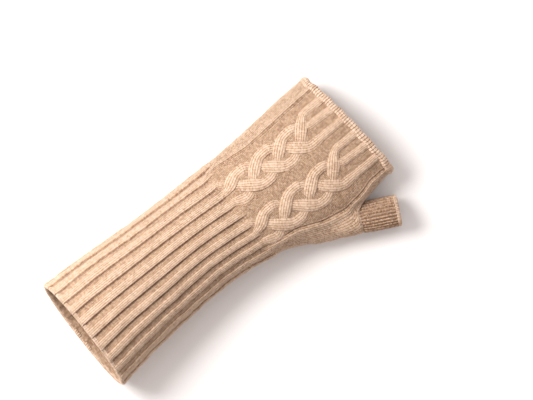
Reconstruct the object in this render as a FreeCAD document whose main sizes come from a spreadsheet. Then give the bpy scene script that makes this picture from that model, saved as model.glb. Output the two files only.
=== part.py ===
"""A left-hand fingerless glove in fine cashmere knit: a long ribbed forearm, a cabled hand back,
a set-in thumb sleeve and bound-off edges. It is modelled in its worn shape, lying palm down.

Frame: millimetres, +Z up, +Y along the glove from the arm opening to the finger opening, and +X to
the thumb's side. The origin is on the surface that the glove lies on, below the middle of its box.
Lengths along the glove are first counted from the top of the arm opening, and distances across it
from the middle of the wrist; glove_x and glove_y then move everything to the origin.
"""

import FreeCAD, Part
import math
import os

from FreeCAD import Placement, Rotation, Vector

PARTS_DIR = "parts"

# Cross-sections of the main tube. Each has its place along the glove, the distance of its middle
# from the glove's centre line, half its width, and its whole height.
SECTIONS = [
    ("arm", -18.0, 2.4, 44.9, 63.5),
    ("cuff", 4.0, 1.1, 43.4, 61.5),
    ("forearm", 30.0, -0.3, 40.9, 58.0),
    ("midarm", 65.0, -0.8, 38.5, 52.0),
    ("wrist", 105.0, -0.7, 37.7, 46.0),
    ("carpal", 135.0, 1.6, 39.9, 43.5),
    ("heel", 160.0, 3.9, 42.7, 41.5),
    ("palm", 185.0, 5.0, 45.4, 39.5),
    ("crotch", 202.0, 5.0, 46.8, 38.0),
    ("knuckle", 222.0, 2.9, 46.0, 36.0),
    ("edge", 236.0, 2.5, 45.0, 34.7),
    ("finger", 250.0, 2.5, 44.8, 33.5),
]

# Cross-sections of the thumb tube: the distance along its axis, half its width, half its height,
# and the height of its middle.
THUMB_SECTIONS = [
    ("gusset_low", 142.0, 6.0, 5.5, 17.0),
    ("gusset_mid", 170.0, 11.5, 11.0, 14.0),
    ("thumb_root", 204.8, 10.6, 10.4, 12.6),
    ("thumb_tip", 240.0, 10.2, 10.0, 12.2),
]

SIZES = {
    "glove_x": 18.94,
    "glove_y": 114.79,
    "wall": 2.5,
    "end_overhang": 2.0,
    "pressed_flat": 1.0,
    "body_gap": 0.3,
    "arm_edge_lean": 11.0,
    "arm_edge_top": 62.0,
    "cast_on_depth": 3.5,
    "ribbing_end": 98.0,
    "wrist_end": 138.0,
    "heel_end": 176.0,
    "cable_end": 212.0,
    "finger_edge": 238.3,
    "finger_edge_slant": 4.0,
    "bind_off_depth": 4.5,
    "palm_side_top": 19.0,
    "thumb_angle": 27.0,
    "thumb_offset": -37.5,
    "thumb_seam": 202.8,
    "thumb_seam_width": 2.0,
    "thumb_rounds_end": 214.0,
    "thumb_bind_off_start": 230.0,
    "thumb_edge": 232.8,
    "cable_a_centre": -11.0,
    "cable_b_centre": 24.0,
    "cable_swing": 8.2,
    "cable_pitch": 64.5,
    "cable_turn_zero": 139.0,
    "cable_start": 140.5,
    "cable_rise": 1.65,
    "cable_sunk": 0.5,
    "strand_width": 5.0,
    "strand_depth": 1.8,
    "below_all": -50.0,
    "above_all": 100.0,
    "past_fingers": 300.0,
}

REACH = 400.0  # longer than the glove, for the boxes that cut it
STRAND_STEPS = 28  # spans of the curve that one strand follows


def make_sheet(document):
    """The spreadsheet that holds every driving dimension under its alias."""
    sheet = document.addObject("Spreadsheet::Sheet", "Sizes")
    cells = dict(SIZES)
    for name, along, across, half_width, height in SECTIONS:
        cells[name + "_along"] = along
        cells[name + "_across"] = across
        cells[name + "_half_width"] = half_width
        cells[name + "_height"] = height
    for name, along, half_width, half_height, level in THUMB_SECTIONS:
        cells[name + "_along"] = along
        cells[name + "_half_width"] = half_width
        cells[name + "_half_height"] = half_height
        cells[name + "_level"] = level
    for row, (alias, value) in enumerate(cells.items(), start=1):
        sheet.set(f"A{row}", alias)
        sheet.set(f"B{row}", str(value))
        sheet.setAlias(f"B{row}", alias)
    document.recompute()
    return sheet


def bind(item, **expressions):
    """Binds an object's properties to cells; base_x, base_y and base_z are its place."""
    for name, expression in expressions.items():
        if name.startswith("base_"):
            name = "Placement.Base." + name[-1]
        item.setExpression(name, expression)
    return item


def overhang(sections, section):
    """What moves an end section outwards by end_overhang, so that a cut runs past both ends."""
    if section == sections[0][0]:
        return "- Sizes.end_overhang"
    if section == sections[-1][0]:
        return "+ Sizes.end_overhang"
    return ""


def main_tube(document, name, grown, runs_past=False):
    """A solid through the main sections, grown outwards by an expression in millimetres."""
    rings = []
    for section, *_ in SECTIONS:
        past = overhang(SECTIONS, section) if runs_past else ""
        ring = document.addObject("Part::Ellipse", f"{name}_{section}")
        ring.Placement.Rotation = Rotation(180, 0, 90)
        bind(
            ring,
            MajorRadius=f"Sizes.{section}_half_width + {grown}",
            MinorRadius=f"Sizes.{section}_height / 2 + Sizes.pressed_flat / 2 + {grown}",
            base_x=f"Sizes.{section}_across - Sizes.glove_x",
            base_y=f"Sizes.{section}_along {past} - Sizes.glove_y",
            base_z=f"Sizes.{section}_height / 2 - Sizes.pressed_flat / 2",
        )
        rings.append(ring)
    return loft(document, name, rings)


def thumb_tube(document, name, grown, runs_past=False):
    """A solid through the thumb's sections, on an axis that leans to the thumb's side."""
    rings = []
    lean = "Sizes.thumb_angle * 1deg"
    for section, *_ in THUMB_SECTIONS:
        past = overhang(THUMB_SECTIONS, section) if runs_past else ""
        ring = document.addObject("Part::Ellipse", f"{name}_{section}")
        ring.Placement.Rotation = Rotation(-SIZES["thumb_angle"], 0, 90)
        along = f"(Sizes.{section}_along {past})"
        bind(
            ring,
            MajorRadius=f"Sizes.{section}_half_width + {grown}",
            MinorRadius=f"Sizes.{section}_half_height + {grown}",
            base_x=f"{along} * sin({lean}) + Sizes.thumb_offset * cos({lean}) - Sizes.glove_x",
            base_y=f"{along} * cos({lean}) - Sizes.thumb_offset * sin({lean}) - Sizes.glove_y",
            base_z=f"Sizes.{section}_level",
        )
        rings.append(ring)
    return loft(document, name, rings)


def loft(document, name, rings):
    solid = document.addObject("Part::Loft", name)
    solid.Sections = rings
    solid.Solid = True
    solid.Ruled = False
    return solid


def boolean(document, kind, name, first, second):
    """first with second cut away, or what they have in common."""
    result = document.addObject("Part::" + kind, name)
    result.Base = first
    result.Tool = second
    result.Refine = False
    return result


def cross_slab(document, name, start, end):
    """A box right across the glove, from one expression along it to another."""
    slab = document.addObject("Part::Box", name)
    slab.Length = REACH
    slab.Height = REACH
    return bind(
        slab,
        Width=f"({end}) - ({start})",
        base_x=f"{-REACH / 2}",
        base_y=f"({start}) - Sizes.glove_y",
        base_z=f"{-REACH / 2}",
    )


def turned_slab(document, name, pivot, rotation, start, end):
    """A wide box between two distances from a pivot, along the turned +Y."""
    slab = document.addObject("Part::Box", name)
    slab.Length = REACH
    slab.Height = REACH
    slab.Width = end - start
    corner = rotation.multVec(Vector(-REACH / 2, start, -REACH / 2))
    slab.Placement = Placement(pivot + corner, rotation)
    return slab


def thumb_slab(document, name, start, end):
    """A box across the thumb, between two distances along its axis."""
    pivot = Vector(-SIZES["glove_x"], -SIZES["glove_y"], 0)
    return turned_slab(document, name, pivot, Rotation(-SIZES["thumb_angle"], 0, 0), start, end)


def level_slab(document, name, start, end):
    """A box right over the glove, from one height to another."""
    slab = document.addObject("Part::Box", name)
    slab.Length = REACH
    slab.Width = REACH
    return bind(
        slab,
        Height=f"({end}) - ({start})",
        base_x=f"{-REACH / 2}",
        base_y=f"{-REACH / 2}",
        base_z=start,
    )


def node(item, label):
    item.Label = label
    return item


def dorsal_point(along, across):
    """The point of the main tube's upper surface over a place on the glove."""
    for low, high in zip(SECTIONS, SECTIONS[1:]):
        if low[1] <= along <= high[1]:
            share = (along - low[1]) / (high[1] - low[1])
            middle, half_width, height = (
                low[i] + share * (high[i] - low[i]) for i in (2, 3, 4)
            )
            break
    half_height = (height + SIZES["pressed_flat"]) / 2
    off = (across - middle) / half_width
    level = height - half_height + half_height * math.sqrt(1 - off * off)
    return Vector(across - SIZES["glove_x"], along - SIZES["glove_y"], level)


def strand_shape(centre, phase):
    """One strand of a three-strand plait: over while it goes out, under while it comes in."""
    first = SIZES["cable_start"]
    last = SIZES["cable_end"]
    points = []
    for step in range(STRAND_STEPS + 1):
        along = first + (last - first) * step / STRAND_STEPS
        turned = (along - SIZES["cable_turn_zero"]) / SIZES["cable_pitch"]
        turn = 2 * math.pi * (turned + phase)
        across = centre + SIZES["cable_swing"] * math.cos(turn)
        point = dorsal_point(along, across)
        lift = SIZES["strand_depth"] / 2 + SIZES["cable_rise"] - SIZES["cable_sunk"]
        point.z += lift - SIZES["cable_rise"] * math.sin(2 * turn)
        points.append(point)
    curve = Part.BSplineCurve()
    curve.interpolate(points)
    start_direction = curve.tangent(curve.FirstParameter)[0]
    profile = Part.Ellipse(
        Vector(), SIZES["strand_width"] / 2, SIZES["strand_depth"] / 2
    ).toShape()
    profile.Placement = Placement(
        points[0],
        Rotation(Vector(1, 0, 0), Vector(0, 0, 1), start_direction, "ZXY"),
    )
    spine = Part.Wire([curve.toShape()])
    sweep = Part.BRepOffsetAPI.MakePipeShell(spine)
    sweep.setBiNormalMode(Vector(0, 0, 1))
    sweep.add(Part.Wire([profile]))
    sweep.build()
    sweep.makeSolid()
    return sweep.shape()


def build_glove(document):
    make_sheet(document)
    nodes = []

    # The knitted fabric: the outer form less the space for the arm, hand and thumb.
    hand_outer = main_tube(document, "HandOuter", "0")
    hand_inner = main_tube(document, "HandInner", "-Sizes.wall", True)
    hand_clear = main_tube(document, "HandClear", "Sizes.body_gap", True)
    thumb_outer = thumb_tube(document, "ThumbOuter", "0")
    thumb_inner = thumb_tube(document, "ThumbInner", "-Sizes.wall", True)
    under = level_slab(document, "UnderSurface", "Sizes.below_all", "0")
    hand_round = boolean(document, "Cut", "HandRound", hand_outer, hand_inner)
    hand_wall = boolean(document, "Cut", "HandWall", hand_round, under)

    # The arm opening leans with the rising forearm, and the finger opening slants a little.
    lean = Rotation(Vector(1, 0, 0), -SIZES["arm_edge_lean"])
    arm_top = Vector(0, -SIZES["glove_y"], SIZES["arm_edge_top"])
    depth = SIZES["cast_on_depth"]
    slant = Rotation(Vector(0, 0, 1), SIZES["finger_edge_slant"])
    finger_middle = Vector(-SIZES["glove_x"], SIZES["finger_edge"] - SIZES["glove_y"], 0)

    cast_on_slab = turned_slab(document, "CastOnSlab", arm_top, lean, 0.0, depth)
    cast_on = boolean(document, "Common", "CastOn", hand_wall, cast_on_slab)
    nodes.append(node(cast_on, "arm_edge_cast_on"))

    before_ribs = turned_slab(document, "BeforeRibs", arm_top, lean, -REACH, depth)
    forearm_slab = cross_slab(document, "ForearmSlab", "Sizes.below_all", "Sizes.ribbing_end")
    forearm_piece = boolean(document, "Common", "ForearmPiece", hand_wall, forearm_slab)
    forearm = boolean(document, "Cut", "Forearm", forearm_piece, before_ribs)
    nodes.append(node(forearm, "forearm_ribbing"))

    wrist_slab = cross_slab(
        document, "WristSlab", "Sizes.ribbing_end + Sizes.body_gap", "Sizes.wrist_end"
    )
    wrist = boolean(document, "Common", "Wrist", hand_wall, wrist_slab)
    nodes.append(node(wrist, "wrist_ribbing"))

    # From the heel of the hand on, the wall is open where the thumb's tube grows out of it.
    hand_open = boolean(document, "Cut", "HandOpen", hand_wall, thumb_inner)
    heel_slab = cross_slab(
        document, "HeelSlab", "Sizes.wrist_end + Sizes.body_gap", "Sizes.heel_end"
    )
    heel = boolean(document, "Common", "Heel", hand_open, heel_slab)
    nodes.append(node(heel, "heel_rounds"))

    panel_slab = cross_slab(document, "PanelSlab", "Sizes.heel_end", "Sizes.cable_end")
    panel_ring = boolean(document, "Common", "PanelRing", hand_open, panel_slab)
    upper = level_slab(document, "UpperHalf", "Sizes.palm_side_top", "Sizes.above_all")
    lower = level_slab(document, "LowerHalf", "Sizes.below_all", "Sizes.palm_side_top")
    hand_back = boolean(document, "Cut", "HandBack", panel_ring, lower)
    nodes.append(node(hand_back, "hand_back_panel"))
    palm = boolean(document, "Cut", "Palm", panel_ring, upper)
    nodes.append(node(palm, "palm_panel"))

    edge_depth = SIZES["bind_off_depth"]
    fingers_slab = cross_slab(document, "FingersSlab", "Sizes.cable_end", "Sizes.past_fingers")
    fingers_ring = boolean(document, "Common", "FingersRing", hand_wall, fingers_slab)
    past_ribs = turned_slab(document, "PastRibs", finger_middle, slant, -edge_depth, REACH)
    finger_ribs = boolean(document, "Cut", "FingerRibs", fingers_ring, past_ribs)
    nodes.append(node(finger_ribs, "finger_ribbing"))
    edge_slab = turned_slab(document, "FingerEdgeSlab", finger_middle, slant, -edge_depth, 0.0)
    finger_edge = boolean(document, "Common", "FingerEdge", fingers_ring, edge_slab)
    nodes.append(node(finger_edge, "finger_edge_bind_off"))

    # The gusset is the thumb tube's wall outside the hand's, up to the seam of the thumb sleeve.
    thumb_wall = boolean(document, "Cut", "ThumbWall", thumb_outer, thumb_inner)
    thumb_free = boolean(document, "Cut", "ThumbFree", thumb_wall, hand_clear)
    thumb_joined = boolean(document, "Cut", "ThumbJoined", thumb_wall, hand_outer)
    gusset_base = boolean(document, "Common", "GussetBase", thumb_joined, heel_slab)
    nodes.append(node(gusset_base, "thumb_gusset_base"))
    beyond_heel = cross_slab(document, "BeyondHeel", "Sizes.heel_end", "Sizes.past_fingers")
    gusset_all = boolean(document, "Common", "GussetAll", thumb_joined, beyond_heel)
    seam_start = SIZES["thumb_seam"]
    seam_end = seam_start + SIZES["thumb_seam_width"]
    gusset_slab = thumb_slab(document, "GussetSlab", 0.0, seam_start)
    gusset = boolean(document, "Common", "Gusset", gusset_all, gusset_slab)
    nodes.append(node(gusset, "thumb_gusset"))
    seam_slab = thumb_slab(document, "SeamSlab", seam_start, seam_end)
    seam = boolean(document, "Common", "Seam", gusset_all, seam_slab)
    nodes.append(node(seam, "thumb_joining_seam"))

    # The thumb sleeve stands clear of the hand, so that it can swing.
    rounds_end = SIZES["thumb_rounds_end"]
    edge_start = SIZES["thumb_bind_off_start"]
    thumb_pieces = [
        ("thumb_base_rounds", "BaseRounds", seam_end + SIZES["body_gap"], rounds_end),
        ("thumb_sleeve", "Sleeve", rounds_end, edge_start),
        ("thumb_edge_bind_off", "ThumbEdge", edge_start, SIZES["thumb_edge"]),
    ]
    for label, name, start, end in thumb_pieces:
        slab = thumb_slab(document, name + "Slab", start, end)
        nodes.append(node(boolean(document, "Common", name, thumb_free, slab), label))

    # Two plaits of three strands lie on the back of the hand.
    for cable, centre in (("a", "cable_a_centre"), ("b", "cable_b_centre")):
        for strand in range(3):
            piece = document.addObject("Part::Feature", f"Cable{cable}{strand}")
            piece.Shape = strand_shape(SIZES[centre], strand / 3)
            nodes.append(node(piece, f"cable_{cable}_strand_{strand + 1}"))
    return nodes


def check_and_export(document, nodes):
    """Stops on any failed object, and writes each sub-part's shape to its own file."""
    for item in document.Objects:
        if "Invalid" in item.State or "Error" in item.State:
            raise RuntimeError(f"{item.Name} ({item.Label}) failed: {item.State}")
    os.makedirs(PARTS_DIR, exist_ok=True)
    for item in nodes:
        shape = item.Shape
        if shape.isNull() or not shape.isValid() or shape.Volume < 1.0:
            raise RuntimeError(f"{item.Label} has no valid shape")
        shape.exportStep(os.path.join(PARTS_DIR, item.Label + ".step"))
        print(f"{item.Label}: {len(shape.Solids)} solid, {shape.Volume / 1000:.2f} cm3")


document = FreeCAD.newDocument("FingerlessGlove")
glove_nodes = build_glove(document)
document.recompute()
check_and_export(document, glove_nodes)
print(Part.makeCompound([item.Shape for item in glove_nodes]).optimalBoundingBox(False, False))
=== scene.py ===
"""The looks of a left-hand fingerless glove in fine melange cashmere knit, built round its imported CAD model.

The mesh of the fabric's outside has at least two lines to every stitch, both ways, so ribs, purl valleys,
plaits and edges are real relief. Lengths here are millimetres along the glove from the top of the arm
opening, and across it from about the middle of the wrist; to_row() turns them into the row frame's metres.
"""

import math

import bpy
import numpy as np
from mathutils import Matrix, Vector


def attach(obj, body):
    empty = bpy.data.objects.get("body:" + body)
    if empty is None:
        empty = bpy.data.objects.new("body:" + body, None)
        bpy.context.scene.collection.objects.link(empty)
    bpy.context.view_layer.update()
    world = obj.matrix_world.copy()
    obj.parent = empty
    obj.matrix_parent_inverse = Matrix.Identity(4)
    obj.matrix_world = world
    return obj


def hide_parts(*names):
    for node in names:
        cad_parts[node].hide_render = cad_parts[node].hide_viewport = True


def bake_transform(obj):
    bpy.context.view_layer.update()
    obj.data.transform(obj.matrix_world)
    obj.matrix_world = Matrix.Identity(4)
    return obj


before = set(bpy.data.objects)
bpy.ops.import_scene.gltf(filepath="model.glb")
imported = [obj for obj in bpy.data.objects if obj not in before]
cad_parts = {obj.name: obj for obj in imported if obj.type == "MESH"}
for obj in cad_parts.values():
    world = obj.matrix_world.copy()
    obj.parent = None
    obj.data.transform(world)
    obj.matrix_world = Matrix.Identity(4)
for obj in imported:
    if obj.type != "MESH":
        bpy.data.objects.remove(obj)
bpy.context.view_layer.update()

ORIGIN_ACROSS = 18.94  # from the middle of the wrist to the row frame's origin
ORIGIN_ALONG = 114.79  # from the arm opening's top to the row frame's origin
COLUMNS = 154  # stitches round the glove
FINE_HALF = 44  # stitches each side of the top line that have fine mesh lines
FINE, COARSE = 4, 2  # mesh lines per stitch on the back, and underneath
ROW = 1.05  # height of a stitch, which has two mesh lines
RIB = 7  # stitches in one rib: purl valley, then knit ridge
PURL = 3  # stitches in its valley
STITCH = 1.35  # width of a stitch on the hand
RIB_PHASE = 3  # stitches from the top line to a rib's end
ARM_EDGE, FINGER_EDGE = 1.6, 236.2  # where the fabric meets its edges, along the top line
ARM_TOP = 62.0  # height of the arm edge
LEAN = math.tan(math.radians(11.0))  # of the arm edge, seen from the side
SLANT = math.tan(math.radians(4.0))  # of the finger edge, seen from above
EDGE_FALL = 3.0  # how far the finger edge falls back by the little finger
SPLIT_SIDE = 98.0  # a place on the forearm, 40 mm before the plaits start
SPLIT_WRIST = 138.0  # the ribs end and the plaits start
SPLIT_HAND = 176.0  # a place on the hand, 38 mm past the plaits' start
WALL = 2.1  # from the form to the inside
PRESSED = 1.0  # how far the form is pressed flat on the table
PAINTED_VALLEY_LIGHTENING = 0.22  # how much less painted shade the forearm's purl valleys get than their depth alone gives
EDGE_LIFT = 0.9  # the fabric inside an edge stands this far off the table
THUMB_ANGLE = math.radians(27.0)
THUMB_ACROSS = -37.5  # from the wrist's middle to the thumb's axis
SEAM_AT = 203.8  # this and the next two are along the thumb's axis
THUMB_BEND_END = 214.0
THUMB_EDGE = 231.6

LINES = np.concatenate([
    np.arange(0, FINE_HALF, 1 / FINE),
    np.arange(FINE_HALF, COLUMNS - FINE_HALF, 1 / COARSE),
    np.arange(COLUMNS - FINE_HALF, COLUMNS, 1 / FINE),
])

rng = np.random.default_rng(7)


def smooth(t):
    """0 up to 0, 1 from 1 on, and an even rise between."""
    t = np.clip(t, 0.0, 1.0)
    return t * t * (3.0 - 2.0 * t)


def bell(t):
    """1 at 0, falling to 0 at -1 and 1."""
    return smooth(1.0 - np.abs(t))


def gaussian(reach, spread):
    """Smoothing weights for the steps each side of a place, which add up to 1."""
    weights = np.exp(-0.5 * (np.arange(-reach, reach + 1) / spread) ** 2)
    return weights / weights.sum()


def to_row(points):
    """Glove millimetres to row-frame metres."""
    out = np.array(points, float)
    out[..., 0] -= ORIGIN_ACROSS
    out[..., 1] -= ORIGIN_ALONG
    return out / 1000.0


class Waves:
    """Smooth seeded noise of two coordinates, about -1 to 1."""

    def __init__(self, length_a, length_b, count=7):
        angle = rng.uniform(0, 2 * math.pi, count)
        size = rng.uniform(0.6, 1.5, count)
        self.a = np.cos(angle) * size * 2 * math.pi / length_a
        self.b = np.sin(angle) * size * 2 * math.pi / length_b
        self.phase = rng.uniform(0, 2 * math.pi, count)

    def __call__(self, a, b):
        total = sum(np.sin(x * a + y * b + p) for x, y, p in zip(self.a, self.b, self.phase))
        return total / math.sqrt(len(self.a))


# ---------------------------------------------------------------- the form, read from the CAD nodes

TUBE_NODES = [
    "forearm_ribbing",
    "wrist_ribbing",
    "heel_rounds",
    "hand_back_panel",
    "palm_panel",
    "finger_ribbing",
]
MEASURED_PLACES = np.arange(4.0, 232.0, 4.0) + 0.7  # none of them at a node's end
PROFILE_FROM, PROFILE_TO, PROFILE_STEP = -40.0, 290.0, 0.5
PROFILE_REACH = 40  # steps each side that smoothing takes in
PROFILE_SPREAD = 12.0  # in steps


def node_edges(names):
    """The ends of all mesh edges of some CAD nodes, in glove millimetres."""
    ends = []
    for name in names:
        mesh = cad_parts[name].data
        points = np.zeros(len(mesh.vertices) * 3)
        mesh.vertices.foreach_get("co", points)
        points = points.reshape(-1, 3) * 1000.0 + (ORIGIN_ACROSS, ORIGIN_ALONG, 0.0)
        pairs = np.zeros(len(mesh.edges) * 2, int)
        mesh.edges.foreach_get("vertices", pairs)
        ends.append(points[pairs.reshape(-1, 2)])
    return np.concatenate(ends)


def smoothed_profile(at, values):
    """A smooth function through measured values, straight past both ends."""
    fine = np.arange(PROFILE_FROM, PROFILE_TO, PROFILE_STEP)
    flat = np.interp(fine, at, values)
    low, high = fine < at[0], fine > at[-1]
    flat[low] = values[0] + (fine[low] - at[0]) * (values[2] - values[0]) / (at[2] - at[0])
    flat[high] = values[-1] + (fine[high] - at[-1]) * (values[-1] - values[-3]) / (at[-1] - at[-3])
    padded = np.pad(flat, PROFILE_REACH, mode="reflect", reflect_type="odd")
    flat = np.convolve(padded, gaussian(PROFILE_REACH, PROFILE_SPREAD), mode="valid")
    return lambda y: np.interp(y, fine, flat)


def measure_tube():
    """Half width, middle and height of the main tube along the glove."""
    ends = node_edges(TUBE_NODES)
    found = []
    for y in MEASURED_PLACES:
        a, b = ends[:, 0], ends[:, 1]
        cross = (a[:, 1] - y) * (b[:, 1] - y) < 0
        a, b = a[cross], b[cross]
        share = ((y - a[:, 1]) / (b[:, 1] - a[:, 1]))[:, None]
        points = a + share * (b - a)
        found.append((points[:, 0].min(), points[:, 0].max(), points[:, 2].max()))
    low, high, top = np.array(found).T
    return (
        smoothed_profile(MEASURED_PLACES, (high - low) / 2),
        smoothed_profile(MEASURED_PLACES, (high + low) / 2),
        smoothed_profile(MEASURED_PLACES, top),
    )


half_width, middle, height = measure_tube()

# The thumb's tube at places along its axis.
THUMB_PLACES = [142.0, 170.0, 204.8, 240.0]
THUMB_HALF_WIDTHS = [6.0, 11.5, 10.6, 10.2]
THUMB_HALF_HEIGHTS = [5.5, 11.0, 10.4, 10.0]
THUMB_LEVELS = [17.0, 14.0, 12.6, 12.2]


def thumb_half(along):
    """Half width, half height and middle's height of the thumb's tube at a distance along its axis."""
    wide = np.interp(along, THUMB_PLACES, THUMB_HALF_WIDTHS)
    high = np.interp(along, THUMB_PLACES, THUMB_HALF_HEIGHTS)
    level = np.interp(along, THUMB_PLACES, THUMB_LEVELS)
    return wide, high, level


def thumb_coordinates(x, y):
    """Distance along the thumb's axis, and across it."""
    along = x * math.sin(THUMB_ANGLE) + y * math.cos(THUMB_ANGLE)
    across = x * math.cos(THUMB_ANGLE) - y * math.sin(THUMB_ANGLE)
    return along, across - THUMB_ACROSS


GUSSET_START = 150.0  # along the thumb's axis
GUSSET_BLEND = 7.0  # how widely the hand and the gusset run together


def form_distance(x, y, z):
    """Roughly the distance outside the glove's form, hand and gusset run together smoothly."""
    a = half_width(y)
    b = (height(y) + PRESSED) / 2
    off = x - middle(y)
    up = z - (height(y) - b)
    ring = np.sqrt((off / a) ** 2 + (up / b) ** 2)
    steepness = np.sqrt((b * off / a) ** 2 + (a * up / b) ** 2 + 1e-6)
    hand = (ring - 1.0) * (a * b) / steepness * ring
    along, across = thumb_coordinates(x, y)
    wide, high, thumb_level = thumb_half(along)
    ring = np.sqrt((across / wide) ** 2 + ((z - thumb_level) / high) ** 2)
    thumb = (ring - 1.0) * np.minimum(wide, high)
    thumb = np.maximum(thumb, (along - SEAM_AT) * 0.9)
    thumb = np.maximum(thumb, GUSSET_START - along)
    mix = np.clip(0.5 + 0.5 * (hand - thumb) / GUSSET_BLEND, 0.0, 1.0)
    return hand + (thumb - hand) * mix - GUSSET_BLEND * mix * (1.0 - mix)


ANGLES = 1440  # points round an outline
REACH = 85.0  # from the glove's middle to well past the gusset
TRIES, HALVINGS = 60, 14  # steps out to the outline, and halvings of the last one
GUSSET_FROM, GUSSET_TO = 138.0, 218.0  # the gusset and its blend into the hand


def section(y):
    """The closed outline of the form at one place along the glove, from its top towards the thumb's side."""
    turn = np.linspace(0, 2 * math.pi, ANGLES, endpoint=False)
    a = half_width(y)
    b = (height(y) + PRESSED) / 2
    level = height(y) - b
    cx = middle(y)
    dx, dz = np.sin(turn), np.cos(turn)
    radius = 1.0 / np.sqrt((dx / a) ** 2 + (dz / b) ** 2)
    if GUSSET_FROM < y < GUSSET_TO:
        near = radius * 0.97
        tries = near + (REACH - near) * np.linspace(0, 1, TRIES)[:, None]
        outside = form_distance(cx + dx * tries, y, level + dz * tries)
        last_in = TRIES - 1 - np.argmax((outside <= 0)[::-1], axis=0)
        last_in = np.where((outside <= 0).any(axis=0), last_in, 0)
        lo = tries[last_in, np.arange(ANGLES)]
        hi = tries[np.minimum(last_in + 1, TRIES - 1), np.arange(ANGLES)]
        for _ in range(HALVINGS):
            mid = (lo + hi) / 2
            inside = form_distance(cx + dx * mid, y, level + dz * mid) <= 0
            lo, hi = np.where(inside, mid, lo), np.where(inside, hi, mid)
        radius = (lo + hi) / 2
    return cx + dx * radius, np.maximum(level + dz * radius, 0.0)


def arc_positions(x, z):
    """Lengths round a closed outline, from its first point and back to it."""
    step = np.hypot(np.diff(x, append=x[:1]), np.diff(z, append=z[:1]))
    return np.concatenate([[0.0], np.cumsum(step)])


# Stitch numbers of the lines that the fabric keeps along the glove: the top, the groove of the band on the
# thumb's side, the side itself, the band's groove on the palm, the bottom, and the same round again.
BAND, SIDE, PALM_GROOVE = 26, 39, 51
ANCHORS = np.array([
    0,
    BAND,
    SIDE,
    PALM_GROOVE,
    COLUMNS / 2,
    COLUMNS - PALM_GROOVE,
    COLUMNS - SIDE,
    COLUMNS - BAND,
    COLUMNS,
])
FROM_END = (ANCHORS > SIDE).astype(float)  # past the gusset, measured back from the end of the round

# How far across the glove the bands' grooves run on its back, at places along it.
GROOVE_ALONG = [126, 138, 160, 178, 195, 210, 222, 240]
THUMB_GROOVE = [33.0, 34.0, 37.0, 44.5, 47.5, 46.0, 42.8, 42.5]
FINGER_GROOVE_ALONG = [133, 165, 186, 233]
FINGER_GROOVE = [-32.5, -29.5, -30.7, -33.4]


def anchor_arcs(y, x, arcs):
    """Where the fabric's kept lines are on a section, as lengths round it."""
    around = arcs[-1]
    even = ANCHORS / COLUMNS * around
    weight = float(smooth((y - 128.0) / 14.0))
    if weight == 0.0:
        return even
    groove = np.interp(y, GROOVE_ALONG, THUMB_GROOVE)
    other = np.interp(y, FINGER_GROOVE_ALONG, FINGER_GROOVE)
    right, left = int(np.argmax(x)), int(np.argmin(x))
    bottom = right + int(np.argmin(np.abs(x[right:left] - middle(y))))

    def where(target, first, last):
        """Length round to the point that lies this far across, in one stretch of the outline."""
        part = x[first:last]
        order = np.argsort(part)
        return np.interp(target, part[order], arcs[first:last][order])

    at_groove = where(groove, 0, right + 1)
    past_gusset = float(smooth((y - 182.0) / 34.0))
    side = arcs[right] + (at_groove + (SIDE - BAND) * STITCH - arcs[right]) * past_gusset
    on_palm = where(groove, right, bottom)
    on_palm += (at_groove + (PALM_GROOVE - BAND) * STITCH - on_palm) * past_gusset
    own = np.array([
        0.0,
        at_groove,
        side,
        on_palm,
        arcs[bottom],
        where(other, bottom, left),
        arcs[left],
        where(other, left, ANGLES),
        around,
    ])
    return even + (own - even) * weight


SECTION_PLACES = np.arange(-18.0, 248.0, 1.0)
ANCHOR_REACH, ANCHOR_SPREAD = 6, 1.6  # smoothing of the kept lines, in sections


def build_sections():
    """The form on a grid: one line per place along the glove, one point per mesh line round it."""
    wander = Waves(60.0, 30.0)
    anchors, outlines = [], []
    for y in SECTION_PLACES:
        x, z = section(y)
        arcs = arc_positions(x, z)
        outlines.append((x, z, arcs))
        anchors.append(anchor_arcs(y, x, arcs) - arcs[-1] * FROM_END)
    anchors = np.array(anchors)
    padded = np.pad(anchors, ((ANCHOR_REACH, ANCHOR_REACH), (0, 0)), mode="edge")
    weights = gaussian(ANCHOR_REACH, ANCHOR_SPREAD)
    anchors = sum(weight * padded[k:k + len(anchors)] for k, weight in enumerate(weights))
    grid = np.zeros((len(SECTION_PLACES), len(LINES), 2))
    for i, (y, (x, z, arcs)) in enumerate(zip(SECTION_PLACES, outlines)):
        at = np.interp(LINES, ANCHORS, anchors[i] + arcs[-1] * FROM_END)
        at = at + 0.75 * wander(y, LINES) * np.sin(math.pi * LINES / COLUMNS)
        grid[i, :, 0] = np.interp(at, arcs, np.append(x, x[0]), period=arcs[-1])
        grid[i, :, 1] = np.interp(at, arcs, np.append(z, z[0]), period=arcs[-1])
    return grid


SECTION_GRID = build_sections()


def slant_share(along):
    """How much of the finger edge's slant there is, at places along the glove."""
    return smooth((along - 150.0) / 88.0)


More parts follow.
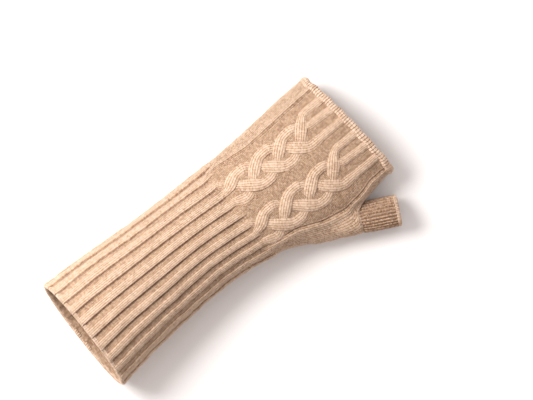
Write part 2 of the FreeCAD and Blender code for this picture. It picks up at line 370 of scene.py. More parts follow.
def tube_points(along):
    """Points of the form for each mesh line round the glove, at distances along the top line."""
    arm = SECTION_GRID[np.searchsorted(SECTION_PLACES, 0.0)]
    finger = SECTION_GRID[np.searchsorted(SECTION_PLACES, 236.0)]
    lean = (arm[:, 1] - ARM_TOP) * LEAN
    slant = finger[:, 0] * SLANT - EDGE_FALL * np.clip((12.0 - finger[:, 0]) / 52.0, 0, 1) ** 2
    slant = slant - 1.6 * np.clip((finger[:, 0] - 36.0) / 12.0, 0, 1) ** 2
    slant = slant + 0.35 * np.sin(LINES * 2 * math.pi / 9.0)
    along = np.asarray(along)[:, None]
    y = along + lean * (1 - smooth(along / 95.0)) + slant * slant_share(along)
    out = np.zeros((len(along), len(LINES), 3))
    out[..., 1] = y
    for i in range(len(LINES)):
        out[:, i, 0] = np.interp(y[:, i], SECTION_PLACES, SECTION_GRID[:, i, 0])
        out[:, i, 2] = np.interp(y[:, i], SECTION_PLACES, SECTION_GRID[:, i, 1])
    return out


def grid_normals(points):
    """Outward normals of a grid whose second direction runs round the glove."""
    round_way = np.roll(points, -1, axis=1) - np.roll(points, 1, axis=1)
    along_way = np.gradient(points, axis=0)
    normal = np.cross(round_way, along_way)
    normal /= np.maximum(np.linalg.norm(normal, axis=2, keepdims=True), 1e-9)
    return normal


# ---------------------------------------------------------------- the plaits

# Where the strand in a plait's middle crosses over the one on a side, and that side: 1 is the thumb's.
CROSSINGS = [(142.0, -1), (153.6, 1), (163.5, -1), (175.0, 1), (185.6, -1), (196.0, 1), (207.0, -1)]
CABLES = {
    "a": {"start": (-23.0, -14.9, -6.2), "middle": -11.2, "step": 9.0, "end": (-24.0, -14.2, -3.2)},
    "b": {"start": (11.6, 20.4, 29.0), "middle": 23.6, "step": 9.8, "end": (9.9, 21.0, 32.4)},
}
STRAND_FROM, STRAND_TO = 130.0, FINGER_EDGE
CROSS_HALF = 8.6  # half the length that a crossing takes
LIFT_HALF = 8.0  # half the length that a strand is lifted over


def strand_path(cable, strand, y):
    """How far across the glove a strand lies, and how far it is lifted, at places along the glove."""
    lanes = CABLES[cable]
    lane = np.full_like(y, float(strand - 1))
    lift = np.zeros_like(y)
    now = strand - 1
    for at, side in CROSSINGS:
        share = smooth((y - at + CROSS_HALF) / (2 * CROSS_HALF))
        hump = bell((y - at) / LIFT_HALF)
        if now == 0:
            lane += share * side
            lift += hump
            now = side
        elif now == side:
            lane -= share * side
            lift -= hump
            now = 0
    start = np.interp(lane, [-1, 0, 1], lanes["start"])
    middle_lane = lanes["middle"] + lane * lanes["step"]
    end = np.interp(lane, [-1, 0, 1], lanes["end"])
    to_plait = smooth((y - 131.0) / 16.0)
    to_end = smooth((y - 200.0) / 18.0)
    across = start + (middle_lane - start) * to_plait
    across += (end - across) * to_end
    return across, lift


# ---------------------------------------------------------------- relief of the ground

def rib_profile(column):
    """Height of the forearm's rib over a stitch number, and how much of a purl valley is there."""
    m = np.mod(column + RIB_PHASE, RIB)
    across = np.clip((m - PURL) / (RIB - PURL), 0, 1)
    ridge = 0.55 + 0.55 * (1 - np.abs(2 * across - 1) ** 2.6)
    valley = -0.50 + 0.25 * np.clip(m / PURL, 0, 1)
    rise = smooth((m - PURL + 0.45) / 0.9)
    height_over = valley + (ridge - valley) * rise
    groove = bell((m - 0.35) / 0.95) + bell((m - 0.35 - RIB) / 0.95)
    height_over = height_over - 0.55 * groove
    return height_over, 1.0 - (m >= PURL)


def ground_relief(points, columns, rows):
    """Height of the fabric over its form, in millimetres, and the share of purl, at every point of a grid."""
    y = points[..., 1]
    column = columns[None, :] + 0 * y
    signed = np.where(column > COLUMNS / 2, column - COLUMNS, column)
    row = rows[:, None] + 0 * y
    rib, rib_purl = rib_profile(column)
    # The hand: smooth bands at the sides and a smooth palm, reverse stockinette between the bands.
    edge = np.abs(signed)
    back = smooth((BAND - edge) / 1.3)
    groove = bell((edge - BAND - 0.2) / 1.05)
    shoulder = bell((edge - BAND - 2.1) / 2.0)
    palm_groove = bell((edge - PALM_GROOVE) / 1.2)
    hand = 0.45 - 0.65 * back - 1.0 * groove + 0.45 * shoulder - 0.15 * palm_groove
    hand_purl = back
    to_hand = smooth((y - 129.0 - 3.0 * smooth((edge - BAND) / 5)) / 11.0)
    # On the palm the rib runs out a little later.
    to_hand = np.where(edge > PALM_GROOVE, smooth((y - 138.0) / 8.0), to_hand)
    base = rib + (hand - rib) * to_hand
    purl = rib_purl + (hand_purl - rib_purl) * to_hand
    # Stitch columns and rows.
    centre_line = np.cos(2 * math.pi * column)
    row_line = np.cos(2 * math.pi * row)
    detail = -0.22 * centre_line * (1 - purl) + (0.13 * row_line - 0.06 * centre_line) * purl
    return base + detail, purl, column, row


# ---------------------------------------------------------------- meshes

def stitch_noise(column, row, salt=0):
    """A number from 0 to 1 for each stitch, the same over the whole stitch."""
    c, r = np.floor(column).astype(int) % COLUMNS, np.floor(row).astype(int)
    value = np.sin(c * 127.1 + r * 311.7 + salt * 74.7) * 43758.5453
    return value - np.floor(value)


def grid_faces(rows, columns, closed=True, offset=0, flip=False):
    """Quads between neighbouring points of a grid."""
    r = np.arange(rows - 1)[:, None]
    c = np.arange(columns if closed else columns - 1)[None, :]
    n = (c + 1) % columns
    here, beyond = r * columns, (r + 1) * columns
    quads = np.stack([here + c, here + n, beyond + n, beyond + c], axis=-1).reshape(-1, 4) + offset
    return quads[:, ::-1] if flip else quads


def make_piece(name, points, quads, stitch, purl, shade, material):
    """A mesh piece from points in glove millimetres, with its stitch numbers, purl share and shade, which
    holds painted shade and light for the colour and, on some pieces, random tone.
    """
    used = np.zeros(len(points), bool)
    used[quads.ravel()] = True
    index = np.cumsum(used) - 1
    points, stitch, purl, shade = points[used], stitch[used], purl[used], shade[used]
    quads = index[quads]
    mesh = bpy.data.meshes.new(name)
    mesh.vertices.add(len(points))
    mesh.vertices.foreach_set("co", to_row(points).astype(np.float32).ravel())
    mesh.loops.add(quads.size)
    mesh.loops.foreach_set("vertex_index", quads.astype(np.int32).ravel())
    mesh.polygons.add(len(quads))
    mesh.polygons.foreach_set("loop_start", np.arange(0, quads.size, 4, dtype=np.int32))
    mesh.polygons.foreach_set("use_smooth", np.ones(len(quads), bool))
    corners = stitch[quads]
    span = corners[..., 0].max(axis=1) - corners[..., 0].min(axis=1)
    wrap = (span > COLUMNS / 2)[:, None] & (corners[..., 0] < COLUMNS / 2)
    corners[..., 0] = np.where(wrap, corners[..., 0] + COLUMNS, corners[..., 0])
    layer = mesh.uv_layers.new(name="stitch")
    layer.data.foreach_set("uv", corners.astype(np.float32).ravel())
    low, high = corners.reshape(-1, 2).min(axis=0), corners.reshape(-1, 2).max(axis=0)
    layer = mesh.uv_layers.new(name="OFBake")
    layer.data.foreach_set("uv", ((corners - low) / (high - low)).astype(np.float32).ravel())
    for key, values in (("purl", purl), ("shade", shade)):
        mesh.attributes.new(key, "FLOAT", "POINT").data.foreach_set("value", values.astype(np.float32))
    mesh.validate()
    mesh.update()
    piece = bpy.data.objects.new(name, mesh)
    bpy.context.scene.collection.objects.link(piece)
    mesh.materials.append(material)
    return piece


INNER_EVERY = 4  # lines of the outside for one line of the inside
# Painted shade inside the glove: the inside is painted darker by this much.
INNER_PAINTED_SHADE = -0.4
INNER_FLOOR = 1.3  # the inside stays this far off the table


def inner_rows_of(count):
    """The rows of the outside that the inside shares: every few, and the last."""
    return np.unique(np.append(np.arange(0, count, INNER_EVERY), count - 1))


def wall_faces(outer_rows, inner_rows, columns):
    """Faces of a tube's wall: its outside, its inside, and a strip across each end."""
    outside = grid_faces(outer_rows, columns)
    inside = grid_faces(inner_rows, columns, offset=outer_rows * columns, flip=True)
    c = np.arange(columns)
    n = (c + 1) % columns
    first_in = outer_rows * columns
    last_in = first_in + (inner_rows - 1) * columns
    last_out = (outer_rows - 1) * columns
    near = np.stack([first_in + c, first_in + n, n, c], axis=-1)
    far = np.stack([last_out + n, last_in + n, last_in + c, last_out + c], axis=-1)
    return np.concatenate([outside, inside, near, far])


def wall_piece(name, outer, inner, inner_rows, stitch, purl, shade, material, hole=None):
    """A piece with an outside and an inside, which is all purl and has the outside's stitch numbers."""
    points = np.concatenate([outer.reshape(-1, 3), inner.reshape(-1, 3)])
    stitch = np.concatenate([stitch.reshape(-1, 2), stitch[inner_rows].reshape(-1, 2)])
    inner_count = inner[..., 0].size
    purl = np.concatenate([purl.ravel(), np.ones(inner_count)])
    shade = np.concatenate([shade.ravel(), np.full(inner_count, INNER_PAINTED_SHADE)])
    quads = wall_faces(len(outer), len(inner), outer.shape[1])
    if hole:
        quads = quads[~hole(points[quads].mean(axis=1))]
    return make_piece(name, points, quads, stitch, purl, shade, material)


def thumb_hole(points):
    """Where the gusset's end is open, for the thumb to pass into its sleeve."""
    along, across = thumb_coordinates(points[..., 0], points[..., 1])
    wide, high, level = thumb_half(along)
    ring = np.hypot(across / wide, (points[..., 2] - level) / high)
    return (along > SEAM_AT - 1.2) & (ring < 0.86)


def tube_piece(name, start, end, material):
    """A length of the glove's fabric: a knitted outside and the purl side within."""
    first_row = round(2 * start / ROW)
    rows = np.arange(first_row, round(2 * end / ROW) + 1) / 2
    along = start + (rows - rows[0]) / (rows[-1] - rows[0]) * (end - start)
    form = tube_points(along)
    normal = grid_normals(form)
    relief, purl, column, row = ground_relief(form, LINES, rows)
    lump = 0.24 * LUMPS(form[..., 0] + form[..., 2], form[..., 1])
    jitter = (0.16 + 0.10 * purl) * (stitch_noise(column, row) - 0.5)
    outer = form + normal * (relief + lump + jitter)[..., None]
    to_end = np.minimum(along - ARM_EDGE, FINGER_EDGE - along)
    outer[..., 2] = np.maximum(outer[..., 2], EDGE_LIFT * (1 - smooth(to_end / 4.0))[:, None])
    inner_rows = inner_rows_of(len(along))
    inner_form = form[inner_rows]
    # Of the shared rows only the finger edge's is odd, and the wall is thinner there.
    wall = WALL + 0.12 * np.where(inner_rows % 2, -1, 1)[:, None]
    rib_inside = 0.35 * (1 - smooth((inner_form[..., 1] - 131) / 7)) * (relief[inner_rows] - 0.2)
    inner = inner_form - normal[inner_rows] * (wall - rib_inside)[..., None]
    inner[..., 2] = np.maximum(inner[..., 2], INNER_FLOOR)
    stitch = np.stack([column, row], axis=-1)
    # Painted shade by depth: the lower the fabric lies, the darker it is painted; the forearm's purl valleys,
    # but not their deepest grooves, get less of it.
    painted_valley_lightening = PAINTED_VALLEY_LIGHTENING * purl * (1 - smooth((form[..., 1] - 125) / 14)) * (relief > -0.75)
    shade = relief + painted_valley_lightening
    return wall_piece(name, outer, inner, inner_rows, stitch, purl, shade, material, hole=thumb_hole)


BEAD_FINE = 8  # mesh lines across one bead of an edge


def edge_roll(name, form, normal, along_way, relief, reach, beads, bead, material):
    """A rounded edge wrapped over the end of the fabric, in beads that swell by the share bead."""
    around = 14  # mesh lines along the glove, round the roll
    count = beads * BEAD_FINE
    turn = np.linspace(0, 2 * math.pi, around, endpoint=False)
    centre = form + normal * ((relief - WALL) / 2)[:, None] - along_way * (reach - 1.5)
    place = np.arange(count) / BEAD_FINE
    beat = np.abs(np.sin(math.pi * place)) ** 0.7
    size = 1.0 + bead * (beat - 0.6) + 0.12 * (stitch_noise(place, 0 * place, 3) - 0.5) * beat
    thick = ((WALL + relief) / 2 + 0.25) * size
    centre[:, 2] = np.maximum(centre[:, 2], thick * np.abs(normal[:, 2]) + 0.02)
    across = np.cos(turn)[:, None, None] * normal[None] * thick[None, :, None]
    forward = np.sin(turn)[:, None, None] * along_way[None] * (reach * size)[None, :, None]
    points = centre[None] + across + forward
    quads = grid_faces(around, count)
    last = (around - 1) * count
    c = np.arange(count)
    n = (c + 1) % count
    closing = np.stack([last + c, last + n, n, c], axis=-1)
    quads = np.concatenate([quads, closing])
    stitch = np.stack(np.broadcast_arrays(place[None, :], turn[:, None] * 0.6), axis=-1)
    # Painted light on each bead's crown and painted shade between the beads, with a random tone for each bead.
    shade = -0.3 + 1.1 * beat + 1.1 * stitch_noise(place, 0 * place, 8)
    shade = np.broadcast_to(shade[None], (around, count))
    return make_piece(
        name, points.reshape(-1, 3), quads, stitch.reshape(-1, 2).copy(),
        np.zeros(around * count), shade.ravel().copy(), material,
    )


def surface_height(x, y):
    """Height of the glove's back, and the outward slope across it."""
    a = half_width(y)
    b = (height(y) + PRESSED) / 2
    off = np.clip((x - middle(y)) / a, -0.98, 0.98)
    root = np.sqrt(1 - off * off)
    return height(y) - b + b * root, b * off / (a * root)


STRAND_COLUMNS = 5
STRAND_FINE = 5  # mesh lines across one of its columns
PATH_REACH, PATH_SPREAD = 5, 2.2  # smoothing of a strand's path, in its rows


def strand_piece(name, cable, strand, material):
    """One strand of a plait: a ribbon of five knit columns, over its neighbour going out, under coming in."""
    y = np.arange(STRAND_FROM, STRAND_TO + 0.2, ROW / 2)
    path, lift = strand_path(cable, strand, y)
    padded = np.pad(path, PATH_REACH, mode="edge")
    path = np.convolve(padded, gaussian(PATH_REACH, PATH_SPREAD), mode="valid")
    path = path + 0.25 * WANDER(y, 17.0 * strand + 0 * y)
    slope = np.gradient(path, y)
    length = np.concatenate([[0], np.cumsum(np.hypot(np.diff(path), np.diff(y)))])
    steps = STRAND_COLUMNS * STRAND_FINE
    u = np.concatenate([[-1.0, -1.0], np.linspace(-1, 1, steps + 1), [1.0, 1.0]])
    skirt = np.concatenate([[2.6, 1.2], np.zeros(steps + 1), [1.2, 2.6]])
    in_plait = smooth((y - 134) / 9) * (1 - smooth((y - 206) / 9))
    half = 2.7 + 0.5 * smooth((y - 204) / 12) + 1.35 * in_plait + 0.55 * in_plait * np.clip(lift, 0, 1)
    lateral = np.stack([np.ones_like(slope), -slope], axis=-1) / np.hypot(1, slope)[:, None]
    tuck = 1.0 - 0.06 * (skirt > 2)
    x = path[:, None] + (u * tuck)[None, :] * half[:, None] * lateral[:, :1]
    along = y[:, None] + (u * tuck)[None, :] * half[:, None] * lateral[:, 1:]
    along = along + x * SLANT * slant_share(along)
    level, side = surface_height(x, along)
    column = (u * STRAND_COLUMNS / 2 + STRAND_COLUMNS / 2)[None, :] + 0 * x
    row = (length / ROW)[:, None] + 0 * x
    fade_in = smooth((y - STRAND_FROM) / 6.0)
    at_end = smooth((y - 208) / 8)
    dome = (1.05 + 0.15 * in_plait + 0.45 * at_end)[:, None] * (1 - 0.85 * np.abs(u[None, :]) ** 2.6)
    raised = dome - 0.50 + (0.80 * lift * in_plait)[:, None] - skirt[None, :]
    raised = raised - 1.4 * (1 - fade_in)[:, None]
    detail = -0.20 * np.cos(2 * math.pi * column) * (skirt[None, :] == 0)
    detail = detail + 0.12 * (stitch_noise(column + 31 * strand, row, 5) - 0.5)
    high = raised + detail + 0.12 * LUMPS(x, along)
    high = np.maximum(high, -1.5)
    lean = np.hypot(1, side)
    points = np.stack([x + side / lean * high, along, level + high / lean], axis=-1)
    rows, count = len(y), len(u)
    quads = grid_faces(rows, count, closed=False)
    here = np.arange(rows - 1) * count
    beyond = here + count
    underside = np.stack([here, beyond, beyond + count - 1, here + count - 1], axis=-1)
    quads = np.concatenate([quads, underside])
    k = np.arange(count // 2)
    for end, flip in ((0, False), ((rows - 1) * count, True)):
        cap = np.stack([end + k, end + k + 1, end + count - 2 - k, end + count - 1 - k], axis=-1)
        cap = cap[cap[:, 1] < cap[:, 2]]
        quads = np.concatenate([quads, cap if flip else cap[:, ::-1]])
    stitch = np.stack([column + 20 * strand, row], axis=-1).reshape(-1, 2)
    # Painted light on the strand's crown and where it is lifted over its neighbour; painted shade at its sides
    # and on the skirts tucked under it.
    shade = (dome - 0.15 - 0.8 * (skirt[None, :] > 0) + 0.45 * (lift * in_plait)[:, None]).ravel()
    return make_piece(name, points.reshape(-1, 3), quads, stitch, np.zeros(len(shade)), shade, material)


THUMB_RIBS = 28
THUMB_FINE = 6  # mesh lines across one of its ribs
THUMB_FROM = 197.0  # the sleeve starts inside the gusset


def thumb_points(along, wide_more, high_more, turn):
    """Points of the thumb's tube at distances along its axis."""
    wide, high, level = thumb_half(along)
    across = (wide + wide_more) * np.sin(turn) + THUMB_ACROSS
    up = level + (high + high_more) * np.cos(turn)
    x = along * math.sin(THUMB_ANGLE) + across * math.cos(THUMB_ANGLE)
    y = along * math.cos(THUMB_ANGLE) - across * math.sin(THUMB_ANGLE)
    return np.stack(np.broadcast_arrays(x, y, up), axis=-1)


def thumb_piece(material):
    """The sleeve over the thumb's root, in ribs one stitch wide."""
    count = THUMB_RIBS * THUMB_FINE
    along = np.arange(THUMB_FROM, THUMB_EDGE + 0.2, ROW / 2)[:, None]
    turn = (np.arange(count) / count * 2 * math.pi)[None, :]
    ribs = np.arange(count)[None, :] / THUMB_FINE + 0 * along
    wave = np.cos(2 * math.pi * ribs)
    row = along / ROW + 0 * turn
    relief = 0.55 * wave + 0.12 * (stitch_noise(ribs * 2, row, 9) - 0.5)
    relief = relief + 0.08 * np.cos(2 * math.pi * row) * (wave < 0)
    swell = 0.5 * smooth((along - 205) / 12) + 0 * turn
    waist = -0.9 * bell((along - SEAM_AT) / 4.0)
    more = relief + swell + waist + 0.15 * WANDER(8 * ribs, along)
    outer = thumb_points(along + 0 * turn, more, more, turn + 0 * along)
    inner_rows = inner_rows_of(len(along))
    less = (swell + waist)[inner_rows] - WALL + 0.3 * wave[inner_rows]
    inner = thumb_points(along[inner_rows] + 0 * turn, less, less, turn + 0 * along[inner_rows])
    stitch = np.stack([ribs * 2, row], axis=-1)
    # Painted shade: ridges lighter and valleys darker, the whole sleeve painted darker; the relief's stitch
    # noise adds a little random tone.
    shade = relief * 1.5 - 0.65
    purl = 0.5 - 0.5 * wave
    return wall_piece("thumb_sleeve_knit", outer, inner, inner_rows, stitch, purl, shade, material)


def thumb_ring(name, at, more, relief, reach, bead, material):
    """A roll of beads round the thumb, two to a rib."""
    beads = 2 * THUMB_RIBS
    count = beads * BEAD_FINE
    turn = np.arange(count) / count * 2 * math.pi
    form = thumb_points(np.full(count, at), more, more, turn)
    centre = thumb_points(np.full(count, at), -8.0, -8.0, turn)  # 8 mm in, which is near the axis
    normal = form - centre
    normal /= np.linalg.norm(normal, axis=1, keepdims=True)
    axis = np.array([math.sin(THUMB_ANGLE), math.cos(THUMB_ANGLE), 0.0])
    way = np.broadcast_to(axis, form.shape)
    return edge_roll(name, form, normal, way, np.full(count, relief), reach, beads, bead, material)


# ---------------------------------------------------------------- the yarn

# Colours of the yarn's ramp: in deep painted shade, middle, and lit and pale; and its pale flecks.
YARN_PAINTED_DEEP_SHADE = (0.215, 0.112, 0.062)
YARN_MIDDLE = (0.525, 0.334, 0.208)
YARN_LIGHT = (0.745, 0.552, 0.410)
YARN_FLECK = (0.86, 0.74, 0.62, 1.0)
UNTINTED = (1.0, 1.0, 1.0)


def yarn(name, painted_light_tint, painted_light=1.0):
    """Melange cashmere: fibres of several beiges with pale flecks, painted shade deep in the fabric and in the
    gaps between stitches, and painted light that makes lighter, cooler copies of the one yarn.
    """
    material = bpy.data.materials.new(name)
    material.use_nodes = True
    nodes, links = material.node_tree.nodes, material.node_tree.links
    shader = nodes["Principled BSDF"]
    shader.inputs["Roughness"].default_value = 0.92
    shader.inputs["Specular IOR Level"].default_value = 0.18
    shader.inputs["Sheen Weight"].default_value = 0.22
    shader.inputs["Sheen Roughness"].default_value = 0.55
    shader.inputs["Sheen Tint"].default_value = (1.0, 0.93, 0.86, 1.0)

    def node(kind, **settings):
        made = nodes.new(kind)
        for key, value in settings.items():
            setattr(made, key, value)
        return made

    def math_node(operation, a, b=None, c=None):
        made = node("ShaderNodeMath", operation=operation)
        for socket, value in zip(made.inputs, (a, b, c)):
            if value is None:
                continue
            if isinstance(value, (int, float)):
                socket.default_value = value
            else:
                links.new(value, socket)
        return made.outputs[0]

    def noise(scale, detail):
        made = node("ShaderNodeTexNoise")
        made.inputs["Scale"].default_value = scale
        made.inputs["Detail"].default_value = detail
        links.new(place, made.inputs["Vector"])
        return made.outputs["Fac"]

    def remap(value, from_min, from_max, to_min, to_max):
        made = node("ShaderNodeMapRange")
        made.inputs["From Min"].default_value = from_min
        made.inputs["From Max"].default_value = from_max
        made.inputs["To Min"].default_value = to_min
        made.inputs["To Max"].default_value = to_max
        links.new(value, made.inputs["Value"])
        return made.outputs["Result"]

    def with_painted_light(colour, light_tint=painted_light_tint):
        """A colour of the yarn with this material's painted light and tint, which make a lit copy of the one
        yarn.
        """
        return tuple(painted_light * t * c for t, c in zip(light_tint, colour)) + (1.0,)

    uv = node("ShaderNodeUVMap", uv_map="stitch")
    parts = node("ShaderNodeSeparateXYZ")
    links.new(uv.outputs[0], parts.inputs[0])
    u, v = parts.outputs[0], parts.outputs[1]
    purl = node("ShaderNodeAttribute", attribute_name="purl").outputs["Fac"]
    painted_depth_shade = node("ShaderNodeAttribute", attribute_name="shade").outputs["Fac"]
    place = node("ShaderNodeTexCoord").outputs["Object"]

    # Colour: cloudy melange, a random tone for each stitch, pale flecks of fibre, and painted shade by depth
    # and in the gaps between stitches.
    cloud = noise(95.0, 3.0)
    grain = noise(1300.0, 2.0)
    fleck = noise(1500.0, 1.0)
    tone_and_painted_shade = math_node("MULTIPLY_ADD", cloud, 0.22, -0.11)
    tone_and_painted_shade = math_node("ADD", tone_and_painted_shade, math_node("MULTIPLY_ADD", grain, 0.70, -0.35))
    # Painted shade by depth: low fabric painted darker, raised fabric lighter.
    tone_and_painted_shade = math_node("ADD", tone_and_painted_shade, remap(painted_depth_shade, -1.1, 1.0, 0.20, 0.92))
    cell = node("ShaderNodeVectorMath", operation="FLOOR")
    links.new(uv.outputs[0], cell.inputs[0])
    stitch_shade = node("ShaderNodeTexWhiteNoise", noise_dimensions="2D")
    links.new(cell.outputs[0], stitch_shade.inputs["Vector"])
    spread = math_node("MULTIPLY_ADD", purl, -0.16, 0.50)
    own = math_node("SUBTRACT", stitch_shade.outputs["Value"], 0.5)
    tone_and_painted_shade = math_node("ADD", tone_and_painted_shade, math_node("MULTIPLY", own, spread))
    turn = math_node("FRACT", u)
    off = math_node("MULTIPLY", math_node("ABSOLUTE", math_node("SUBTRACT", turn, 0.5)), 2.0)
    leg = math_node("SINE", math_node("MULTIPLY", off, math.pi))
    gap = math_node("POWER", off, 3.0)
    rise = math_node("FRACT", math_node("MULTIPLY_ADD", off, 0.6, v))
    rung = math_node("SINE", math_node("MULTIPLY", rise, math.pi))
    # Painted shade in the gaps between a knit stitch's legs, between its rows, and between purl bumps.
    row_gap_painted_shade = math_node("MULTIPLY", math_node("SUBTRACT", 1.0, rung), 0.20)
    knit_gap_painted_shade = math_node("MULTIPLY_ADD", gap, 0.62, row_gap_painted_shade)
    wave = math_node("COSINE", math_node("MULTIPLY", u, 2 * math.pi))
    bump_row = math_node("FRACT", math_node("MULTIPLY_ADD", wave, 0.18, v))
    purled = math_node("SINE", math_node("MULTIPLY", bump_row, math.pi))
    purl_gap_painted_shade = math_node("MULTIPLY", math_node("SUBTRACT", 1.0, purled), 0.5)
    knit_share = math_node("SUBTRACT", 1.0, purl)
    knit_share_gap_painted_shade = math_node("MULTIPLY", knit_gap_painted_shade, knit_share)
    gap_painted_shade = math_node("ADD", knit_share_gap_painted_shade, math_node("MULTIPLY", purl_gap_painted_shade, purl))
    tone_and_painted_shade = math_node("SUBTRACT", tone_and_painted_shade, gap_painted_shade)
    # The ramp runs from the yarn in deep painted shade to its lit, pale side; random tone moves along it too.
    ramp = node("ShaderNodeValToRGB")
    low, high = ramp.color_ramp.elements
    low.color = with_painted_light(YARN_PAINTED_DEEP_SHADE, UNTINTED)
    high.color = with_painted_light(YARN_LIGHT)
    ramp.color_ramp.elements.new(0.42).color = with_painted_light(YARN_MIDDLE)
    links.new(tone_and_painted_shade, ramp.inputs["Fac"])
    mix = node("ShaderNodeMixRGB")
    mix.inputs["Color2"].default_value = YARN_FLECK
    links.new(remap(fleck, 0.56, 0.72, 0.0, 0.50), mix.inputs["Fac"])
    links.new(ramp.outputs["Color"], mix.inputs["Color1"])
    links.new(mix.outputs["Color"], shader.inputs["Base Color"])

    # Relief finer than the mesh: the two slanting legs of a knit stitch, or the bumps of a purl one.
    knit = math_node("MULTIPLY", leg, rung)
    purled = math_node("MULTIPLY", purled, math_node("MULTIPLY_ADD", leg, 0.5, 0.5))
    both = math_node("ADD", math_node("MULTIPLY", knit, knit_share), math_node("MULTIPLY", purled, purl))
    both = math_node("ADD", both, math_node("MULTIPLY", grain, 0.9))
    bump = node("ShaderNodeBump")
    bump.inputs["Strength"].default_value = 0.85
    bump.inputs["Distance"].default_value = 0.00042
    links.new(both, bump.inputs["Height"])
    links.new(bump.outputs["Normal"], shader.inputs["Normal"])
    return material


KNIT_MAIN = yarn("knit_main", UNTINTED)
# The plaits and the edges are the same yarn painted lighter, the edges also a little cooler: painted light on
# their raised strands and beads.
KNIT_CABLE = yarn("knit_cable", (1.02, 1.02, 1.03), 1.04)
KNIT_EDGE = yarn("knit_edge", (1.04, 1.06, 1.10), 1.10)

LUMPS = Waves(16.0, 11.0, 11)
WANDER = Waves(34.0, 50.0, 7)


# ---------------------------------------------------------------- build the pieces

WRIST_ABOUT, WRIST_LEVEL = 0.3, 22.0  # the middle of the wrist, across and up


def row_point(x, y):
    """A point at the level of the wrist's middle, in the row frame."""
    return tuple(to_row(np.array([x, y, WRIST_LEVEL])))


def thumb_row_point(along):
    """A point near the thumb's axis, in the row frame."""
    return tuple(to_row(thumb_points(np.array(along), -10.0, -10.0, np.array(0.0))))


def finer(values, columns):
    """Vectors known at the mesh lines round the glove, at other stitch numbers."""
    return np.stack([np.interp(columns, LINES, values[:, k], period=COLUMNS) for k in range(3)], axis=-1)


def arm_edge_relief(columns):
    """The forearm's ribs go on over its edge, but lower."""
    return 0.65 * rib_profile(columns)[0]


def finger_edge_relief(columns):
    """The finger edge is even, and wanders a little."""
    return 1.35 + 0.25 * WANDER(columns * 3, FINGER_EDGE)


def tube_edge(name, at, relief, reach, beads, bead):
    """The roll of beads at one end of the fabric."""
    columns = np.arange(beads * BEAD_FINE) * COLUMNS / (beads * BEAD_FINE)
    near = tube_points([at - 0.5, at, at + 0.5])
    way = near[2] - near[0]
    way = way / np.linalg.norm(way, axis=1, keepdims=True)
    form, normal, way = (finer(values, columns) for values in (near[1], grid_normals(near)[1], way))
    return edge_roll(name, form, normal, way, relief(columns), reach, beads, bead, KNIT_EDGE)


forearm = tube_piece("forearm_knit", ARM_EDGE, SPLIT_WRIST, KNIT_MAIN)
hand = tube_piece("hand_knit", SPLIT_WRIST, FINGER_EDGE, KNIT_MAIN)
row_point(WRIST_ABOUT, SPLIT_SIDE)
row_point(WRIST_ABOUT, SPLIT_WRIST)
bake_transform(forearm)
row_point(WRIST_ABOUT, SPLIT_WRIST)
row_point(WRIST_ABOUT, SPLIT_HAND)
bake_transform(hand)
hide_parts("forearm_ribbing", "wrist_ribbing")
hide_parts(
    "heel_rounds", "hand_back_panel", "palm_panel", "finger_ribbing",
    "thumb_gusset_base", "thumb_gusset",
)

arm_roll = tube_edge("arm_cast_on_edge", ARM_EDGE, arm_edge_relief, reach=1.5, beads=COLUMNS, bead=0.22)
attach(arm_roll, "forearm")
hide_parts("arm_edge_cast_on")
finger_roll = tube_edge(
    "finger_bind_off_edge", FINGER_EDGE, finger_edge_relief, reach=2.7, beads=112, bead=0.30
)
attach(finger_roll, "hand")
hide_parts("finger_edge_bind_off")

for cable in CABLES:
    for strand in range(3):
        piece = strand_piece(f"cable_{cable}_strand_{strand + 1}_knit", cable, strand, KNIT_CABLE)
        row_point(WRIST_ABOUT, SPLIT_WRIST)
        row_point(WRIST_ABOUT, SPLIT_HAND)
        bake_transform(piece)
        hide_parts(f"cable_{cable}_strand_{strand + 1}")

sleeve = thumb_piece(KNIT_MAIN)
thumb_row_point(SEAM_AT + 1.0)
thumb_row_point(THUMB_BEND_END)
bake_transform(sleeve)
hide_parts("thumb_base_rounds", "thumb_sleeve")
thumb_roll = thumb_ring("thumb_bind_off_edge", THUMB_EDGE, 0.5, 0.35, 1.4, 0.3, KNIT_EDGE)
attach(thumb_roll, "thumb")
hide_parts("thumb_edge_bind_off")
seam = thumb_ring("thumb_seam", SEAM_AT, 0.0, -0.3, 1.0, 0.2, KNIT_MAIN)
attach(seam, "hand")
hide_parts("thumb_joining_seam")

# ---------------------------------------------------------------- floor, light and camera

# Metres in the row frame; the camera looks straight down, with the glove lying across its picture.
IMAGE_RIGHT = Vector((0.6239, 0.7815, 0.0))
IMAGE_UP = Vector((-0.7815, 0.6239, 0.0))
UP = Vector((0.0, 0.0, 1.0))
MIDDLE = Vector((-0.0112, 0.0404, 0.0))  # below the middle of the picture
FOREARM = Vector((-0.019, -0.095, 0.0))
CAMERA_HEIGHT = 1.915
CAMERA_LENS, CAMERA_SENSOR = 180.0, 36.0
FLOOR_SIZE, FLOOR_DROP = 8.0, 0.0003
WARM_WHITE = (1.0, 0.925, 0.905, 1.0)
WORLD_STRENGTH = 0.56


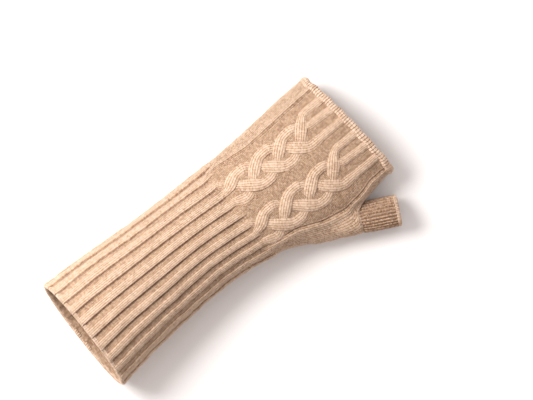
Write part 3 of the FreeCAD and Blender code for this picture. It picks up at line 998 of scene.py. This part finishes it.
def build_floor():
    """The white paper that the glove lies on."""
    bpy.ops.mesh.primitive_plane_add(size=FLOOR_SIZE, location=(0.0, 0.0, -FLOOR_DROP))
    floor = bpy.context.object
    floor.name = "floor"
    material = bpy.data.materials.new("white_paper")
    material.use_nodes = True
    shader = material.node_tree.nodes["Principled BSDF"]
    shader.inputs["Base Color"].default_value = (0.94, 0.925, 0.92, 1.0)
    shader.inputs["Roughness"].default_value = 0.9
    shader.inputs["Specular IOR Level"].default_value = 0.1
    floor.data.materials.append(material)


def add_area(name, aim, direction, distance, size, power, colour):
    """A round lamp that shines at a point from one direction."""
    data = bpy.data.lights.new(name, "AREA")
    data.shape = "DISK"
    data.size = size
    data.energy = power
    data.color = colour
    lamp = bpy.data.objects.new(name, data)
    lamp.location = aim + direction.normalized() * distance
    lamp.rotation_mode = "QUATERNION"
    lamp.rotation_quaternion = (-direction).to_track_quat("-Z", "Y")
    bpy.context.scene.collection.objects.link(lamp)


def build_light_and_camera():
    """Soft light all round, a key lamp from the picture's upper left, a soft one above, and the camera."""
    scene = bpy.context.scene
    scene.view_settings.view_transform = "Standard"
    world = bpy.data.worlds.new("studio")
    world.use_nodes = True
    background = world.node_tree.nodes["Background"]
    background.inputs["Color"].default_value = WARM_WHITE
    background.inputs["Strength"].default_value = WORLD_STRENGTH
    scene.world = world
    from_upper_left = IMAGE_UP * 0.72 - IMAGE_RIGHT * 0.90 + UP * 1.35
    from_top = UP + IMAGE_UP * 0.2
    key_white, top_white = (1.0, 0.985, 0.965), (1.0, 0.98, 0.97)
    add_area("key", FOREARM, from_upper_left, distance=0.76, size=0.5, power=8.7, colour=key_white)
    add_area("soft_top", MIDDLE, from_top, distance=1.5, size=1.6, power=4.0, colour=top_white)
    camera_data = bpy.data.cameras.new("camera")
    camera_data.lens = CAMERA_LENS
    camera_data.sensor_width = CAMERA_SENSOR
    camera = bpy.data.objects.new("camera", camera_data)
    turn = Matrix((IMAGE_RIGHT, IMAGE_UP, UP)).transposed()
    camera.rotation_mode = "QUATERNION"
    camera.rotation_quaternion = turn.to_quaternion()
    camera.location = MIDDLE + UP * CAMERA_HEIGHT
    scene.collection.objects.link(camera)
    scene.camera = camera


build_floor()
build_light_and_camera()

bpy.context.view_layer.update()
